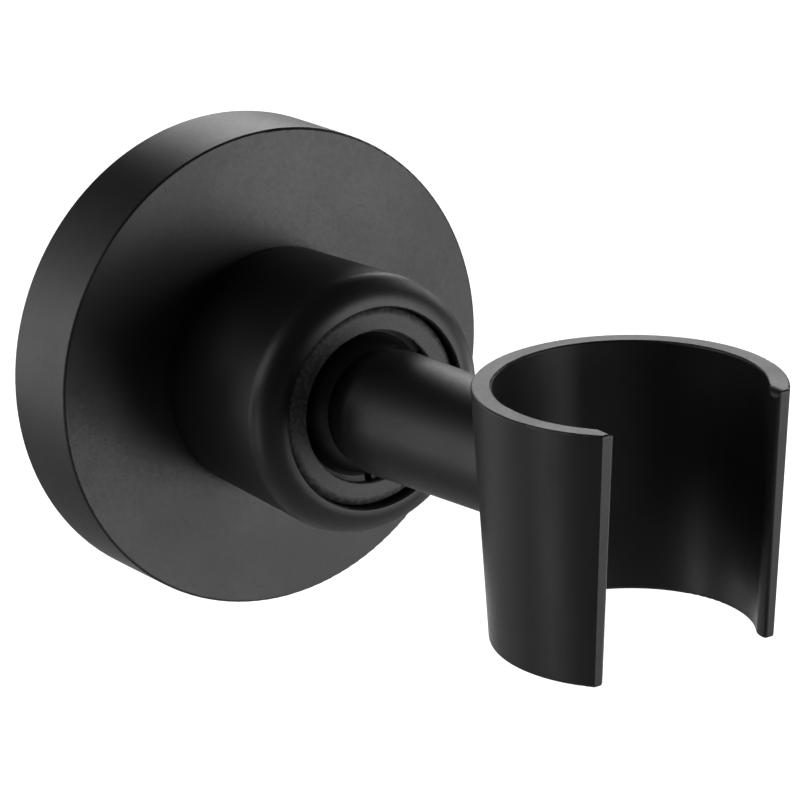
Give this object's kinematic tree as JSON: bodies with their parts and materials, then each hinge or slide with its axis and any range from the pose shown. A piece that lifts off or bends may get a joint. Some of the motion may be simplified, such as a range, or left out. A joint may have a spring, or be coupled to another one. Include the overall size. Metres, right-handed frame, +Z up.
{
  "type": "hand shower holder",
  "caption": "Wall holder for a hand shower: round flange, housing with a ball joint held by friction, short stem and an open tapered cup, satin black.",
  "frame": {"origin": "centre of the two wall screw holes, on the wall face of the wall plate", "axes": "+Z up along the wall, +Y into the wall, +X to the right for a person facing the wall; the arm runs out along -Y"},
  "size_m": [0.05, 0.0812, 0.05],
  "materials": {
    "black_coat": "satin black powder coat on turned and cast metal",
    "grey_polymer": "dark grey acetal with a fine grain",
    "dark_polymer": "black acetal",
    "plain_steel": "plain stainless steel",
    "dark_steel": "blackened steel"
  },
  "bodies": {
    "base": {"flange_cover": "black_coat", "wall_plate": "plain_steel", "grub_screw": "dark_steel", "housing": "black_coat", "washer": "plain_steel", "nut": "plain_steel", "disc_spring": "plain_steel", "pressure_seat": "dark_polymer", "retaining_ring": "grey_polymer"},
    "liner": {"ball_liner": "dark_polymer"},
    "ball": {"ball": "black_coat"},
    "arm": {"holder_arm": "black_coat"}
  },
  "joints": [
    {"name": "swing", "type": "hinge", "parent": "base", "child": "liner", "pos_m": [0, -0.024, 0], "axis": [0, 0, 1], "range_deg": [-12, 12]},
    {"name": "tilt", "type": "hinge", "parent": "liner", "child": "ball", "pos_m": [0, -0.024, 0], "axis": [-1, 0, 0], "range_deg": [-12, 12]},
    {"name": "roll", "type": "hinge", "parent": "ball", "child": "arm", "pos_m": [0, -0.024, 0], "axis": [0, -0.9995, 0.0314], "continuous": true}
  ]
}
